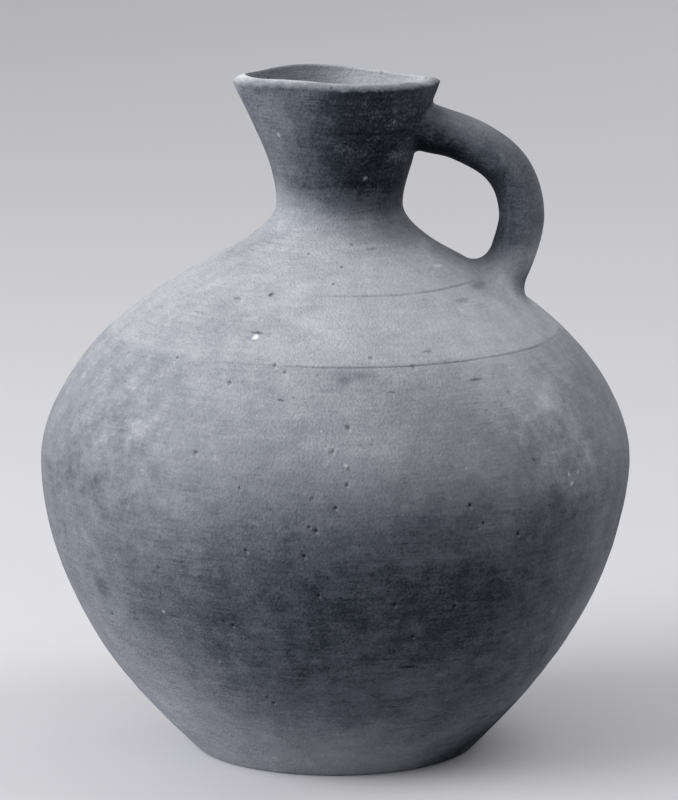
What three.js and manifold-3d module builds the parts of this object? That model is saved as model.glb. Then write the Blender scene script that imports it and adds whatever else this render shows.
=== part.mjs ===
// An unglazed, wheel-thrown jug with a pinched mouth, made the way a potter makes it. A slab base, a thrown
// bowl, a thrown dome and a thrown neck stand one on another. Coils of soft clay lute their seams on the
// inside, and collars of the same clay lute a pulled handle to the neck and the shoulder.
// Millimetres, +Z up. The origin is the middle of the rest face, with the handle on +X and the spout on -X.
import * as THREE from "three";
import { mergeVertices } from "three/addons/utils/BufferGeometryUtils.js";
import Module from "manifold-3d";

const wasm = await Module();
wasm.setup();

// Outside of the pot, from station to station. A rise is the height from one station to the next,
// and a flare is the radius gained for each millimetre of height.
const BASE_RADIUS = 52;
const BASE_FLARE = 1;
const BOWL_RISE = 108;
const BELLY_RADIUS = 108.5;
const DOME_RISE = 76;
const ROOT_RADIUS = 43.7;
const ROOT_FLARE = -1.84;
const ROOT_RISE = 20;
const THROAT_RADIUS = 23.2;
const NECK_RISE = 45.5;
const MOUTH_RADIUS = 37.8;
const MOUTH_FLARE = 0.36;

// Walls and seams
const BODY_WALL = 6.5;
const NECK_WALL = 6;
const BASE_THICKNESS = 8;
const BASE_EDGE_ROUND = 1.2;
const NECK_SEAM_RISE = 8;
const CLEARANCE = 0.3;

// Lip and mouth, as bent while the clay was soft
const LIP_BEVEL = 2.6;
const LIP_EDGE = 1.4;
const LIP_INNER_ROUND = 1.4;
const NECK_SHIFT = 1.8;
const MOUTH_SQUEEZE = 8;
const MOUTH_SIDE_LIFT = 1.3;
const SPOUT_REACH = 2.5;
const SPOUT_LIFT = 1.2;
const SPOUT_HALF_ANGLE = 0.4;
const CHEEK_PINCH = 2;
const BACK_PINCH = 3.5;
const NECK_SWELL = 1.2;
const NECK_SWELL_DROP = 31.5;
const NECK_SWELL_REACH = 10;

// Incised lines on the shoulder, by their fall below the root of the neck
const LINE_FALLS = [27, 7];
const LINE_WIDTH = 1.4;
const LINE_DEPTH = 0.6;

// Handle: where its middle meets the pot, and how it loops between. It bulges most below mid-height.
const HANDLE_DROP = 17.5;
const HANDLE_LEAVE = 14.5;
const HANDLE_BULGE = 7.8;
const HANDLE_SAG = 5;
const HANDLE_THICKNESS = 16.7;
const HANDLE_TOP_WIDTH = 21;
const HANDLE_FOOT_WIDTH = 18;
const FOOT_DROP = 9.6;
const FOOT_LEAVE = 8.5;
const ARCH_FULLNESS = 0.73;
const FOOT_FULLNESS = 0.15;

// Luting clay
const TOP_COLLAR_THICKNESS = 1.6;
const FOOT_COLLAR_THICKNESS = 3.2;
const COLLAR_EDGE = 0.8;
const COLLAR_LENGTH = 8;
const COIL_THICKNESS = 3.5;
const COIL_EDGE = 0.8;
const BELLY_COIL_WIDTH = 18;
const NECK_COIL_WIDTH = 10;
const FLOOR_COIL_WIDTH = 11;

// Facets
const SIDES = 56;
const BOWL_RINGS = 9;
const BOWL_INNER_RINGS = 4;
const DOME_RINGS = 12;
const DOME_INNER_RINGS = 5;
const NECK_RINGS = 10;
const NECK_INNER_RINGS = 6;
const COIL_RINGS = 4;
const ROUND_STEPS = 3;
const CORE_RINGS = 30;
const HANDLE_SIDES = 18;
const HANDLE_STEPS = 20;
const COLLAR_STEPS = 5;

const bellyHeight = BOWL_RISE;
const rootHeight = bellyHeight + DOME_RISE;
const throatHeight = rootHeight + ROOT_RISE;
const mouthHeight = throatHeight + NECK_RISE;
const neckSeam = rootHeight + NECK_SEAM_RISE;
const swellHeight = mouthHeight - NECK_SWELL_DROP;
const floorCoilTop = BASE_THICKNESS + FLOOR_COIL_WIDTH;
const bellyCoilFoot = bellyHeight - BELLY_COIL_WIDTH / 2;
const bellyCoilTop = bellyHeight + BELLY_COIL_WIDTH / 2;
const neckCoilFoot = neckSeam - NECK_COIL_WIDTH / 2;
const neckCoilTop = neckSeam + NECK_COIL_WIDTH / 2;

const OUTER_STATIONS = [
  { height: 0, radius: BASE_RADIUS, flare: BASE_FLARE, wall: BODY_WALL },
  { height: bellyHeight, radius: BELLY_RADIUS, flare: 0, wall: BODY_WALL },
  { height: rootHeight, radius: ROOT_RADIUS, flare: ROOT_FLARE, wall: BODY_WALL },
  { height: throatHeight, radius: THROAT_RADIUS, flare: 0, wall: NECK_WALL },
  { height: mouthHeight, radius: MOUTH_RADIUS, flare: MOUTH_FLARE, wall: NECK_WALL },
];

// A station moved square to the wall, inwards for a positive depth.
function inset(station, depth) {
  const slant = Math.hypot(1, station.flare);
  return {
    ...station,
    height: station.height + (depth * station.flare) / slant,
    radius: station.radius - depth / slant,
  };
}

// One stretch of wall face. Its curve climbs evenly, so a height gives the place on it straight away.
function stretch(low, high) {
  const third = (high.height - low.height) / 3;
  const curve = new THREE.CubicBezierCurve(
    new THREE.Vector2(low.radius, low.height),
    new THREE.Vector2(low.radius + low.flare * third, low.height + third),
    new THREE.Vector2(high.radius - high.flare * third, high.height - third),
    new THREE.Vector2(high.radius, high.height),
  );
  return { low: low.height, high: high.height, curve };
}

// A face of the wall: its point and its outward normal at a height.
class WallFace {
  constructor(stations) {
    this.stretches = stations.slice(1).map((high, i) => stretch(stations[i], high));
  }

  find(height) {
    const found = this.stretches.find((s) => height <= s.high) ?? this.stretches.at(-1);
    return { curve: found.curve, share: (height - found.low) / (found.high - found.low) };
  }

  at(height) {
    const { curve, share } = this.find(height);
    return curve.getPoint(share);
  }

  normal(height) {
    const { curve, share } = this.find(height);
    const along = curve.getTangent(THREE.MathUtils.clamp(share, 0, 1));
    return new THREE.Vector2(along.y, -along.x);
  }

  beside(height, distance) {
    return this.at(height).addScaledVector(this.normal(height), distance);
  }
}

const outside = new WallFace(OUTER_STATIONS);
const inside = new WallFace(OUTER_STATIONS.map((s) => inset(s, s.wall)));

function evenly(low, high, count) {
  return Array.from({ length: count + 1 }, (_, i) => THREE.MathUtils.lerp(low, high, i / count));
}

// Heights from a first one through the stops, with a number of even steps to each.
function climb(first, ...stops) {
  const heights = [first];
  stops.forEach(([stop, count]) => heights.push(...evenly(heights.at(-1), stop, count).slice(1)));
  return heights;
}

// Moves a point of the thrown pot to where the soft clay was bent. The neck sits a little off the body's
// axis and swells below the handle. The sides of the mouth are squeezed and, towards the spout, lifted.
// Both ends of the mouth are pinched, and the spout is drawn out and up.
function settle(point) {
  const shiftFoot = (bellyHeight + rootHeight) / 2;
  const shift = NECK_SHIFT * THREE.MathUtils.smoothstep(point.z, shiftFoot, throatHeight);
  const bend = THREE.MathUtils.clamp((point.z - throatHeight) / NECK_RISE, 0, 1) ** 2;
  const turn = Math.atan2(point.y, point.x);
  const fromSpout = Math.PI - Math.abs(turn);
  const spout = Math.exp(-((fromSpout / SPOUT_HALF_ANGLE) ** 2));
  const pinch = (fromSpout < Math.PI / 2 ? CHEEK_PINCH : BACK_PINCH) * Math.sin(2 * turn) ** 2;
  const squeeze = (MOUTH_SQUEEZE / MOUTH_RADIUS) * point.y + pinch * Math.sign(point.y);
  const lift = MOUTH_SIDE_LIFT * (Math.sin(turn) * (1 - Math.cos(turn))) ** 2 + SPOUT_LIFT * spout;
  const swellFade = Math.exp(-(((point.z - swellHeight) / NECK_SWELL_REACH) ** 2));
  const swell = NECK_SWELL * Math.max(Math.cos(turn), 0) ** 2 * swellFade;
  point.x += shift + swell - SPOUT_REACH * spout * bend;
  point.y -= squeeze * bend;
  point.z += lift * bend;
  return point;
}

function settleAll(geometry) {
  const position = geometry.getAttribute("position");
  const point = new THREE.Vector3();
  for (let i = 0; i < position.count; i++) {
    settle(point.fromBufferAttribute(position, i));
    position.setXYZ(i, point.x, point.y, point.z);
  }
  return geometry;
}

// Turns an outline of radius and height points round the axis, then bends it as the soft pot was bent.
function thrown(outline) {
  const onAxis = outline[0].x === 0;
  const points = onAxis ? outline : [...outline, outline[0]];
  const geometry = new THREE.LatheGeometry(points, SIDES);
  geometry.rotateX(Math.PI / 2);
  return settleAll(geometry);
}

// The place of the pot's outer face at a height, on the handle's side.
function handleSide(height) {
  const face = outside.at(height);
  return settle(new THREE.Vector3(face.x, 0, height));
}

function handleSideNormal(height) {
  const normal = outside.normal(height);
  return new THREE.Vector3(normal.x, 0, normal.y);
}

function solidOf(geometry) {
  const bare = geometry.clone();
  bare.deleteAttribute("normal");
  bare.deleteAttribute("uv");
  const merged = mergeVertices(bare, 1e-4);
  const mesh = new wasm.Mesh({
    numProp: 3,
    vertProperties: merged.getAttribute("position").array,
    triVerts: new Uint32Array(merged.index.array),
  });
  return new wasm.Manifold(mesh);
}

function geometryOf(solid) {
  const mesh = solid.getMesh();
  const geometry = new THREE.BufferGeometry();
  geometry.setAttribute("position", new THREE.BufferAttribute(mesh.vertProperties, 3));
  geometry.setIndex(new THREE.BufferAttribute(mesh.triVerts, 1));
  geometry.computeVertexNormals();
  return geometry;
}

// The slab under the pot, with its lower edge rubbed round.
function baseDisc() {
  const rest = outside.at(0).x - BASE_EDGE_ROUND;
  const edge = new THREE.QuadraticBezierCurve(
    new THREE.Vector2(rest, 0),
    new THREE.Vector2(outside.at(0).x, 0),
    outside.at(BASE_EDGE_ROUND),
  );
  const below = new THREE.Vector2(0, 0);
  const above = new THREE.Vector2(0, BASE_THICKNESS);
  return thrown([below, ...edge.getPoints(ROUND_STEPS), outside.at(BASE_THICKNESS), above]);
}

// The bowl stands on the slab and ends in a flat seam at the belly. Inside, the walls have rings where the
// coils lie.
function lowerBody() {
  const outer = evenly(BASE_THICKNESS, bellyHeight, BOWL_RINGS).map((z) => outside.at(z));
  const floorRings = [floorCoilTop, COIL_RINGS / 2];
  const seamRings = [bellyHeight, COIL_RINGS / 2];
  const inner = climb(BASE_THICKNESS, floorRings, [bellyCoilFoot, BOWL_INNER_RINGS], seamRings);
  return thrown([...outer, ...inner.reverse().map((z) => inside.at(z))]);
}

// The dome stands on the bowl. Two lines are cut round it while it turned.
function upperBody() {
  const lines = LINE_FALLS.map((fall) => rootHeight - fall);
  const near = (z) => lines.some((line) => Math.abs(z - line) < LINE_WIDTH);
  const plain = evenly(bellyHeight, neckSeam, DOME_RINGS).filter((z) => !near(z));
  const face = plain.map((z) => outside.at(z));
  const cuts = lines.flatMap((line) => {
    const reach = (LINE_WIDTH / 2) * outside.normal(line).x;
    return [outside.at(line - reach), outside.beside(line, -LINE_DEPTH), outside.at(line + reach)];
  });
  const outer = [...face, ...cuts].sort((a, b) => a.y - b.y);
  const footRings = [bellyCoilTop, COIL_RINGS / 2];
  const seamRings = [neckSeam, COIL_RINGS / 2];
  const inner = climb(bellyHeight, footRings, [neckCoilFoot, DOME_INNER_RINGS], seamRings);
  return thrown([...outer, ...inner.reverse().map((z) => inside.at(z))]);
}

// The neck stands on the dome. Its lip is bevelled outwards to a narrow edge, which is rubbed round within.
function neck() {
  const bevelFoot = mouthHeight - LIP_BEVEL;
  const innerFoot = mouthHeight - LIP_INNER_ROUND;
  const outer = evenly(neckSeam, bevelFoot, NECK_RINGS).map((z) => outside.at(z));
  const inner = climb(neckSeam, [neckCoilTop, COIL_RINGS / 2], [innerFoot, NECK_INNER_RINGS]);
  const face = inner.reverse().map((z) => inside.at(z));
  const ridge = new THREE.Vector2(face[0].x + LIP_EDGE, mouthHeight);
  const corner = new THREE.Vector2(face[0].x, mouthHeight);
  const edge = new THREE.QuadraticBezierCurve(ridge, corner, face[0]).getPoints(ROUND_STEPS).slice(0, -1);
  return thrown([...outer, ...edge, ...face]);
}

// A coil pressed over a seam on the inside, thick in its middle and thumbed out at its edges.
function seamCoil(foot, top) {
  const heights = evenly(foot, top, COIL_RINGS);
  const seam = (foot + top) / 2;
  const back = heights.map((z) => inside.beside(z, -CLEARANCE));
  const front = heights.map((z) => {
    const swell = 1 - ((z - seam) / (top - seam)) ** 2;
    return inside.beside(z, -CLEARANCE - COIL_EDGE - (COIL_THICKNESS - COIL_EDGE) * swell);
  });
  return thrown([...back, ...front.reverse()]);
}

// The coil in the corner of the floor and the wall, with a hollow face.
function floorCoil() {
  const back = evenly(BASE_THICKNESS, floorCoilTop, COIL_RINGS / 2).map((z) => {
    return new THREE.Vector2(inside.at(z).x - CLEARANCE, z);
  });
  const top = new THREE.Vector2(back.at(-1).x - COIL_EDGE, back.at(-1).y);
  const corner = new THREE.Vector2(back[0].x - COIL_THICKNESS, back[0].y + COIL_THICKNESS);
  const toe = new THREE.Vector2(back[0].x - FLOOR_COIL_WIDTH, BASE_THICKNESS);
  const face = new THREE.QuadraticBezierCurve(top, corner, toe);
  return thrown([...back, ...face.getPoints(ROUND_STEPS)]);
}

// The handle's middle line, from within the neck's wall over the arch to within the shoulder's wall.
function handlePath() {
  const topHeight = mouthHeight - HANDLE_DROP;
  const footHeight = rootHeight - FOOT_DROP;
  const top = handleSide(topHeight);
  const foot = handleSide(footHeight);
  const topOut = handleSideNormal(topHeight);
  const footOut = handleSideNormal(footHeight);
  const apex = new THREE.Vector3(foot.x + HANDLE_BULGE, 0, (top.z + foot.z) / 2 - HANDLE_SAG);
  const archEase = apex.clone().setZ(THREE.MathUtils.lerp(apex.z, top.z, ARCH_FULLNESS));
  const footEase = apex.clone().setZ(THREE.MathUtils.lerp(apex.z, foot.z, FOOT_FULLNESS));
  const topEnd = top.clone().addScaledVector(topOut, -NECK_WALL);
  const footEnd = foot.clone().addScaledVector(footOut, -BODY_WALL);
  const topLeave = top.clone().addScaledVector(topOut, HANDLE_LEAVE);
  const footLeave = foot.clone().addScaledVector(footOut, FOOT_LEAVE);
  const path = new THREE.CurvePath();
  path.add(new THREE.LineCurve3(topEnd, top));
  path.add(new THREE.CubicBezierCurve3(top, topLeave, archEase, apex));
  path.add(new THREE.CubicBezierCurve3(apex, footEase, footLeave, foot));
  path.add(new THREE.LineCurve3(foot, footEnd));
  return path;
}

const loop = handlePath();
const loopLength = loop.getLength();

// An oval rod along part of the handle's line. The swell of a place, by its distance along the line,
// is added all round to the handle's own section.
function rod(from, to, steps, swell) {
  const positions = [];
  const across = new THREE.Vector3(0, 1, 0);
  evenly(from, to, steps).forEach((distance) => {
    const share = distance / loopLength;
    const middle = loop.getPointAt(share);
    const up = new THREE.Vector3().crossVectors(across, loop.getTangentAt(share)).normalize();
    const width = THREE.MathUtils.lerp(HANDLE_TOP_WIDTH, HANDLE_FOOT_WIDTH, share) / 2 + swell(distance);
    const thickness = HANDLE_THICKNESS / 2 + swell(distance);
    for (let side = 0; side < HANDLE_SIDES; side++) {
      const angle = (2 * Math.PI * side) / HANDLE_SIDES;
      const point = middle.clone();
      point.addScaledVector(up, thickness * Math.cos(angle));
      point.addScaledVector(across, width * Math.sin(angle));
      positions.push(...point);
    }
  });
  const index = [];
  for (let ring = 0; ring < steps; ring++) {
    for (let side = 0; side < HANDLE_SIDES; side++) {
      const next = (side + 1) % HANDLE_SIDES;
      const [a, b] = [ring * HANDLE_SIDES + side, ring * HANDLE_SIDES + next];
      const [c, d] = [a + HANDLE_SIDES, b + HANDLE_SIDES];
      index.push(a, b, c, b, d, c);
    }
  }
  const last = steps * HANDLE_SIDES;
  for (let side = 1; side < HANDLE_SIDES - 1; side++) {
    index.push(0, side + 1, side);
    index.push(last, last + side, last + side + 1);
  }
  const geometry = new THREE.BufferGeometry();
  geometry.setAttribute("position", new THREE.Float32BufferAttribute(positions, 3));
  geometry.setIndex(index);
  return solidOf(geometry);
}

// The pot filled solid and grown by the clearance, which the handle and its collars are cut to.
function potCore() {
  const grown = evenly(bellyHeight, mouthHeight, CORE_RINGS).map((z) => outside.beside(z, CLEARANCE));
  const below = new THREE.Vector2(0, grown[0].y);
  const above = new THREE.Vector2(0, grown.at(-1).y);
  return solidOf(thrown([below, ...grown, above]));
}

const core = potCore();

const topWall = NECK_WALL;
const footWall = loopLength - BODY_WALL;

// The handle's ends are thinned to take the collars, so that the outsides run on into each other.
function handle() {
  const thinned = rod(0, loopLength, HANDLE_STEPS, () => -COLLAR_EDGE - CLEARANCE);
  const collared = COLLAR_LENGTH + CLEARANCE;
  const full = rod(topWall + collared, footWall - collared, HANDLE_STEPS, () => 0);
  return geometryOf(thinned.add(full).subtract(core));
}

// A collar of soft clay round one end of the handle, which swells towards the pot's wall.
function collar(wallAt, direction, thickness) {
  const swell = (distance) => {
    const reach = (direction * (distance - wallAt)) / COLLAR_LENGTH;
    return thickness * (1 - THREE.MathUtils.clamp(reach, 0, 1)) ** 2;
  };
  const sunk = wallAt - direction * thickness;
  const tip = wallAt + direction * COLLAR_LENGTH;
  const outer = rod(Math.min(sunk, tip), Math.max(sunk, tip), COLLAR_STEPS, swell);
  const hole = rod(0, loopLength, HANDLE_STEPS, () => -COLLAR_EDGE);
  return geometryOf(outer.subtract(hole).subtract(core));
}

// Each piece of clay, with its own fired shade.
const jug = new THREE.Group();

function addPiece(name, geometry, color, roughness) {
  const material = new THREE.MeshStandardMaterial({ color, roughness, metalness: 0 });
  const mesh = new THREE.Mesh(geometry, material);
  mesh.name = name;
  jug.add(mesh);
}

addPiece("base_disc", baseDisc(), "#6b6d72", 0.95);
addPiece("lower_body", lowerBody(), "#7d7f85", 0.85);
addPiece("upper_body", upperBody(), "#97999f", 0.8);
addPiece("neck", neck(), "#74767c", 0.85);
addPiece("handle", handle(), "#76787e", 0.85);
addPiece("handle_top_lute", collar(topWall, 1, TOP_COLLAR_THICKNESS), "#6f7177", 0.9);
addPiece("handle_foot_lute", collar(footWall, -1, FOOT_COLLAR_THICKNESS), "#83858b", 0.9);
addPiece("belly_lute", seamCoil(bellyCoilFoot, bellyCoilTop), "#85878c", 0.95);
addPiece("neck_lute", seamCoil(neckCoilFoot, neckCoilTop), "#85878c", 0.95);
addPiece("base_lute", floorCoil(), "#85878c", 0.95);

export default jug;
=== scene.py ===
# An unglazed, wheel-thrown jug with a pinched mouth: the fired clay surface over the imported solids.
# Metres, +Z up. The handle is on +X and the spout on -X, and the jug stands on the floor at the origin.
# A turn is an angle round the pot's axis: 0 at the handle and half a turn at the spout.
import math
from bisect import bisect_right
from collections import namedtuple
from functools import reduce

import bmesh
import bpy
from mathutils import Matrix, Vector, geometry, noise


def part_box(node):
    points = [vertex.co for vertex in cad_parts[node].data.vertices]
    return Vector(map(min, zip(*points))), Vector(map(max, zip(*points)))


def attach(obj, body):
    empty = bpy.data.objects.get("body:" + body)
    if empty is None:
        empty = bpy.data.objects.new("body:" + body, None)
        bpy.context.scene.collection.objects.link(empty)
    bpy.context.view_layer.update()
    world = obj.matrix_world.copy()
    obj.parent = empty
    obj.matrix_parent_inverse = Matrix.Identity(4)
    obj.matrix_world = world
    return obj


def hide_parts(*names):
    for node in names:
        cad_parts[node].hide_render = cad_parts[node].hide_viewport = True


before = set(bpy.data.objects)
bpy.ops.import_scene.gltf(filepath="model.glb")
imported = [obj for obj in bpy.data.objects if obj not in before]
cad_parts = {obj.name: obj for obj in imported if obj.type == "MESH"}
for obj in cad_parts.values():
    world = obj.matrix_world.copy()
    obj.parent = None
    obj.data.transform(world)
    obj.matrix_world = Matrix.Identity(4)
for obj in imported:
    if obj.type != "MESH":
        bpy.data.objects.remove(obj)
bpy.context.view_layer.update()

scene = bpy.context.scene

MM = 0.001

# Outside of the pot, from station to station: height, radius, and flare, the radius gained per height
BASE_RADIUS = 52 * MM
BASE_FLARE = 1
BELLY_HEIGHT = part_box("lower_body")[1].z
BELLY_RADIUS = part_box("lower_body")[1].x
ROOT_HEIGHT = BELLY_HEIGHT + 76 * MM
ROOT_RADIUS = 43.7 * MM
ROOT_FLARE = -1.84
THROAT_HEIGHT = ROOT_HEIGHT + 20 * MM
THROAT_RADIUS = 23.2 * MM
MOUTH_HEIGHT = THROAT_HEIGHT + 45.5 * MM
MOUTH_RADIUS = 37.8 * MM
MOUTH_FLARE = 0.36

# Seams and walls
BASE_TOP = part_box("base_disc")[1].z
NECK_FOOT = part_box("neck")[0].z
BODY_WALL = 6.5 * MM
NECK_WALL = 6 * MM
BASE_EDGE_ROUND = 1.2 * MM
COIL_THICKNESS = 3.5 * MM
COIL_SINK = 0.3 * MM

# Lip and mouth, as bent while the clay was soft
LIP_BEVEL = 2.6 * MM
LIP_EDGE = 1.4 * MM
LIP_ROUND = 1.3 * MM
LIP_INNER_ROUND = 1.4 * MM
LIP_WEAR = 0.12 * MM
LIP_WEAR_REACH = 2.5 * MM
LIP_EVEN_WEAR = 0.5
LIP_OUTER_WEAR = 0.6
LIP_WEAR_STEP = 0.04
LIP_INNER_WEAR = 0.4
LIP_LOWERING = 0.45
LIP_LOWERING_NARROWNESS = 6
NECK_SHIFT = 1.8 * MM
MOUTH_SQUEEZE = 8 * MM
MOUTH_NEAR_LIFT = 0.8 * MM
MOUTH_FAR_LIFT = 1.4 * MM
MOUTH_BACK_LIFT = 1.1 * MM
MOUTH_BACK_NARROWNESS = 12
SPOUT_REACH = 2.5 * MM
SPOUT_LIFT = 1.2 * MM
SPOUT_HALF_ANGLE = 0.4
CHEEK_PINCH = 2 * MM
BACK_PINCH = 3.5 * MM
NECK_SWELL = 1.2 * MM
NECK_SWELL_HEIGHT = MOUTH_HEIGHT - 31.5 * MM
NECK_SWELL_REACH = 10 * MM

# Two lines cut round the shoulder with a pointed stick, and a flake lost beside the lower one. A line is
# deepest at its turn and runs out where the cosine of the angle from there has fallen by its span.
LINE_HEIGHTS = (ROOT_HEIGHT - 27 * MM, ROOT_HEIGHT - 6.3 * MM)
LINE_WIDTH = 0.9 * MM
LINE_DEPTH = 0.35 * MM
LINE_TURNS = (math.radians(-60), math.radians(-57))
LINE_SPANS = (0.55, 0.32)
FLAKE_TURN = math.radians(-112.9)
FLAKE_HEIGHT = 165.2 * MM
FLAKE_RADIUS = 2.2 * MM
FLAKE_DEPTH = 0.5 * MM
FLAKE_FLATNESS = 1.4
FLAKE_STEEPNESS = 2

# Where the soft wall was pushed out or in: turn in degrees, height, reach up the wall and push in mm
SAGS = ((0, 110, 15, 0.85), (180, 136, 13, -0.95), (180, 35, 24, 1.05))

# Arcs left underneath by the string that cut the pot from the wheel, round a point beside it
STRING_CENTRE = (70 * MM, -20 * MM)
STRING_SPACING = 5 * MM
STRING_DEPTH = 0.3 * MM
STRING_WANDER = 0.8
STRING_WANDER_SIZE = 20 * MM
STRING_FADE = 4 * MM

# The handle's middle line and section
HANDLE_DROP = 17.5 * MM
HANDLE_LEAVE = 14.5 * MM
HANDLE_BULGE = 7.8 * MM
HANDLE_SAG = 5 * MM
HANDLE_THICKNESS = 16.7 * MM
HANDLE_SWELL = 1.2 * MM
HANDLE_SWELL_REACH = 14 * MM
HANDLE_TOP_WIDTH = 21 * MM
HANDLE_FOOT_WIDTH = 18 * MM
FOOT_DROP = 9.6 * MM
FOOT_LEAVE = 8.5 * MM
ARCH_FULLNESS = 0.73
FOOT_FULLNESS = 0.15
TOP_ROOTING = 3 * NECK_WALL
FOOT_ROOTING = 3 * BODY_WALL

# Fillets of the handle's luted ends: their reach on the outside and on the finger side
TOP_FILLET = (1.5 * MM, 2.5 * MM)
FOOT_FILLET = (7 * MM, 11 * MM)
FILLET_SINK = 0.15 * MM
END_SINK = 2 * MM

# Unevenness of the clay: each ripple's height, its spacing up the wall or down the handle, how quickly it
# comes and goes on the way round, and a seed
Ripple = namedtuple("Ripple", "height spacing turning seed")
OUTER_RIPPLES = (
    Ripple(0.35 * MM, 60 * MM, 1.2, 1),
    Ripple(0.10 * MM, 9 * MM, 0.8, 2),
    Ripple(0.07 * MM, 3.6 * MM, 1.1, 3),
)
INNER_RIPPLES = (Ripple(0.35 * MM, 5 * MM, 0.6, 7), Ripple(0.2 * MM, 1.8 * MM, 0.8, 8))
HANDLE_LUMPS = (Ripple(0.30 * MM, 14 * MM, 1, 0), Ripple(0.12 * MM, 40 * MM, 3, 0))
LIP_KNOCKS = (Ripple(1, 3 * MM, 5, 11), Ripple(0.6, 2 * MM, 16, 12))
LINE_WAVER = Ripple(0.5 * MM, 1, 1.5, 20)
LINE_LIFT = Ripple(0.6, 1, 7, 30)
THUMB_DRIFT = Ripple(2, 20 * MM, 2, 13)
THUMB_PRESSES = 26
THUMB_DEPTH = COIL_THICKNESS / 3

# How pale the inside is, from 0 to 1: at the sides, and how much more at the handle and less at the spout.
# That swing round the pot is painted light on the inner wall at the handle side, where the lamps reach in
# through the mouth, and painted shade on the spout side.
INSIDE_PALENESS = 0.95
INSIDE_LIGHT_SWING = 0.6

# Fineness of the meshes
POT_STEPS = 60
STEP_CUTS = 7
ROW_SPACING = 1.0 * MM
NECK_SPACING = 0.8 * MM
NECK_INNER_SPACING = 1.0 * MM
INNER_SPACING = 4 * MM
UNDERSIDE_ROWS = 50
ROD_SIDES = 128
ROD_RINGS = 240
FILLET_SHARE = 0.16
SUNK_SHARE = 0.01
LIP_POINTS = 12
ROUND_POINTS = 6
ROUND_FULLNESS = 2 / 3
COIL_POINTS = 14
LINE_ROWS = 6
HANDLE_LINE_POINTS = 200
HANDLE_LINE_STEP = 2 * MM
HALVINGS = 40
LEVEL_TOLERANCE = 0.001 * MM
WELD_DISTANCE = 0.01 * MM

Station = namedtuple("Station", "height radius flare thickness")
STATIONS = (
    Station(0, BASE_RADIUS, BASE_FLARE, BODY_WALL),
    Station(BELLY_HEIGHT, BELLY_RADIUS, 0, BODY_WALL),
    Station(ROOT_HEIGHT, ROOT_RADIUS, ROOT_FLARE, BODY_WALL),
    Station(THROAT_HEIGHT, THROAT_RADIUS, 0, NECK_WALL),
    Station(MOUTH_HEIGHT, MOUTH_RADIUS, MOUTH_FLARE, NECK_WALL),
)


def inset(station):
    """A station of the inner face: the outer one moved square to the wall by the wall's thickness."""
    height, radius, flare, thickness = station
    slant = math.hypot(1, flare)
    return Station(height + thickness * flare / slant, radius - thickness / slant, flare, thickness)


INNER_STATIONS = tuple(inset(station) for station in STATIONS)


def clamp(value):
    return min(max(value, 0), 1)


def ease(value):
    """A smooth step from 0 to 1."""
    value = clamp(value)
    return value * value * (3 - 2 * value)


def blend(start, end, share):
    return start + (end - start) * share


def wave(angle):
    """A smooth wave, 1 at an angle of 0 and 0 half a turn from there."""
    return 0.5 + 0.5 * math.cos(angle)


def rounded(start, corner, end, count):
    """Points of a round that fills a corner, from its start to its end."""
    return geometry.interpolate_bezier(
        start, start.lerp(corner, ROUND_FULLNESS), end.lerp(corner, ROUND_FULLNESS), end, count
    )


def wall(stations, height):
    """Radius and flare of a face of the wall at a height, on a smooth curve through its stations."""
    pairs = list(zip(stations, stations[1:]))
    low, high = next((pair for pair in pairs if height <= pair[1].height), pairs[-1])
    rise = high.height - low.height
    share = (height - low.height) / rise
    radius = (
        (1 + 2 * share) * (1 - share) ** 2 * low.radius
        + share * (1 - share) ** 2 * rise * low.flare
        + share * share * (3 - 2 * share) * high.radius
        - share * share * (1 - share) * rise * high.flare
    )
    flare = (
        6 * share * (1 - share) * (high.radius - low.radius) / rise
        + (1 - share) * (1 - 3 * share) * low.flare
        + share * (3 * share - 2) * high.flare
    )
    return radius, flare


def neck_shift(height):
    """How far the neck leans off the pot's axis at a height, towards the handle."""
    shift_foot = (BELLY_HEIGHT + ROOT_HEIGHT) / 2
    return NECK_SHIFT * ease((height - shift_foot) / (THROAT_HEIGHT - shift_foot))


def mouth_bend(height):
    """The share of the mouth's bending that reaches a height: none in the throat, all at the lip."""
    return clamp((height - THROAT_HEIGHT) / (MOUTH_HEIGHT - THROAT_HEIGHT)) ** 2


def neck_swell(turn, height):
    """How far the neck swells below the handle, which drew it out."""
    fade = math.exp(-(((height - NECK_SWELL_HEIGHT) / NECK_SWELL_REACH) ** 2))
    return NECK_SWELL * max(math.cos(turn), 0) ** 2 * fade


def end_pinch(turn):
    """How far each side of the mouth is pinched in beside its two ends."""
    return (BACK_PINCH if abs(turn) < math.pi / 2 else CHEEK_PINCH) * math.sin(2 * turn) ** 2


def settle(x, y, z):
    """Where a point of the thrown pot lies once the soft clay is bent: the neck a little off the axis, the
    sides of the mouth squeezed and unevenly lifted, its ends pinched, and the spout drawn out and up."""
    bend = mouth_bend(z)
    turn = math.atan2(y, x)
    spout = math.exp(-(((math.pi - abs(turn)) / SPOUT_HALF_ANGLE) ** 2))
    squeeze = MOUTH_SQUEEZE / MOUTH_RADIUS * y + math.copysign(end_pinch(turn), y)
    side_lift = MOUTH_FAR_LIFT if y > 0 else MOUTH_NEAR_LIFT
    lift = side_lift * (math.sin(turn) * (1 - math.cos(turn))) ** 2
    lift += MOUTH_BACK_LIFT * wave(turn) ** MOUTH_BACK_NARROWNESS + SPOUT_LIFT * spout
    shift = neck_shift(z) + neck_swell(turn, z) - SPOUT_REACH * spout * bend
    return Vector((x + shift, y - squeeze * bend, z + lift * bend))


def unsettle(point):
    """Turn, height and distance outside the pot's face of a point on the handle's side."""
    bend = mouth_bend(point.z)
    turn = math.atan2(point.y, point.x)
    x = point.x - neck_shift(point.z) - neck_swell(turn, point.z)
    y = point.y + math.copysign(end_pinch(turn) * bend, point.y)
    y /= 1 - MOUTH_SQUEEZE / MOUTH_RADIUS * bend
    return math.atan2(y, x), point.z, math.hypot(x, y) - wall(STATIONS, point.z)[0]


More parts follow.
